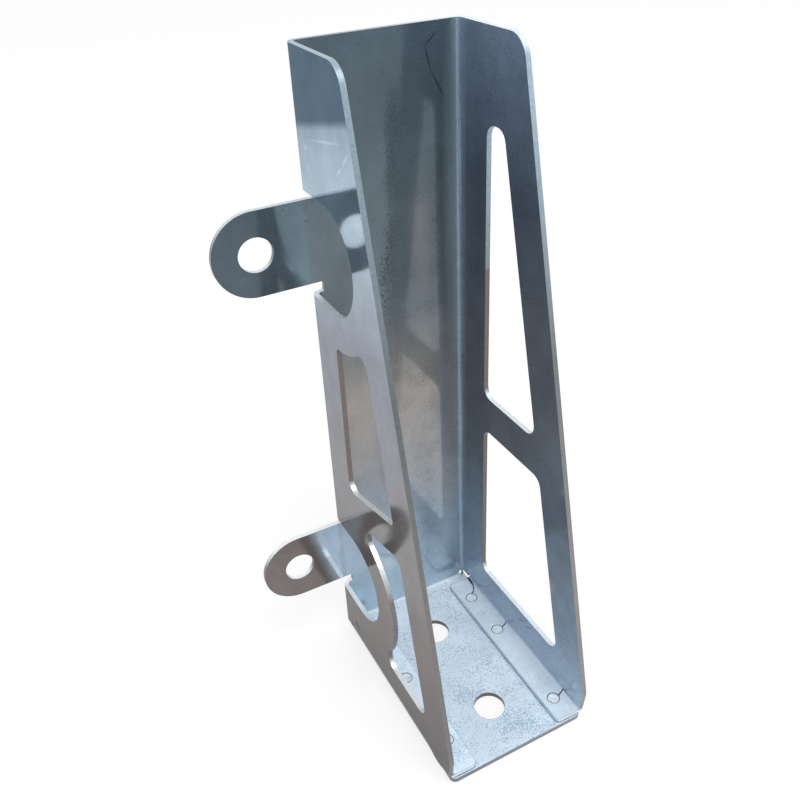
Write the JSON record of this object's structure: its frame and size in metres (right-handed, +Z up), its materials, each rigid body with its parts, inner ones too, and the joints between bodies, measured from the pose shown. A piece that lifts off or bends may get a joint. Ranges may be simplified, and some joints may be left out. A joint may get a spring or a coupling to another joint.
{
  "type": "mounting bracket",
  "caption": "Tall channel bracket folded from sheet steel, with tapered windowed flanges, drilled foot under riveted tabs, and drilled ears on one side.",
  "frame": {"origin": "on the underside of the foot, midway between its two bolt holes", "axes": "+Z up the channel, +Y towards the back face so the open side faces -Y, +X towards the flange without ears"},
  "size_m": [0.1002, 0.0967, 0.262],
  "materials": {
    "galvanised_sheet": "bright galvanised sheet",
    "plated_rivet": "zinc plated"
  },
  "bodies": {
    "root": {"folded_sheet": "galvanised_sheet", "rivets": "plated_rivet"}
  },
  "joints": []
}
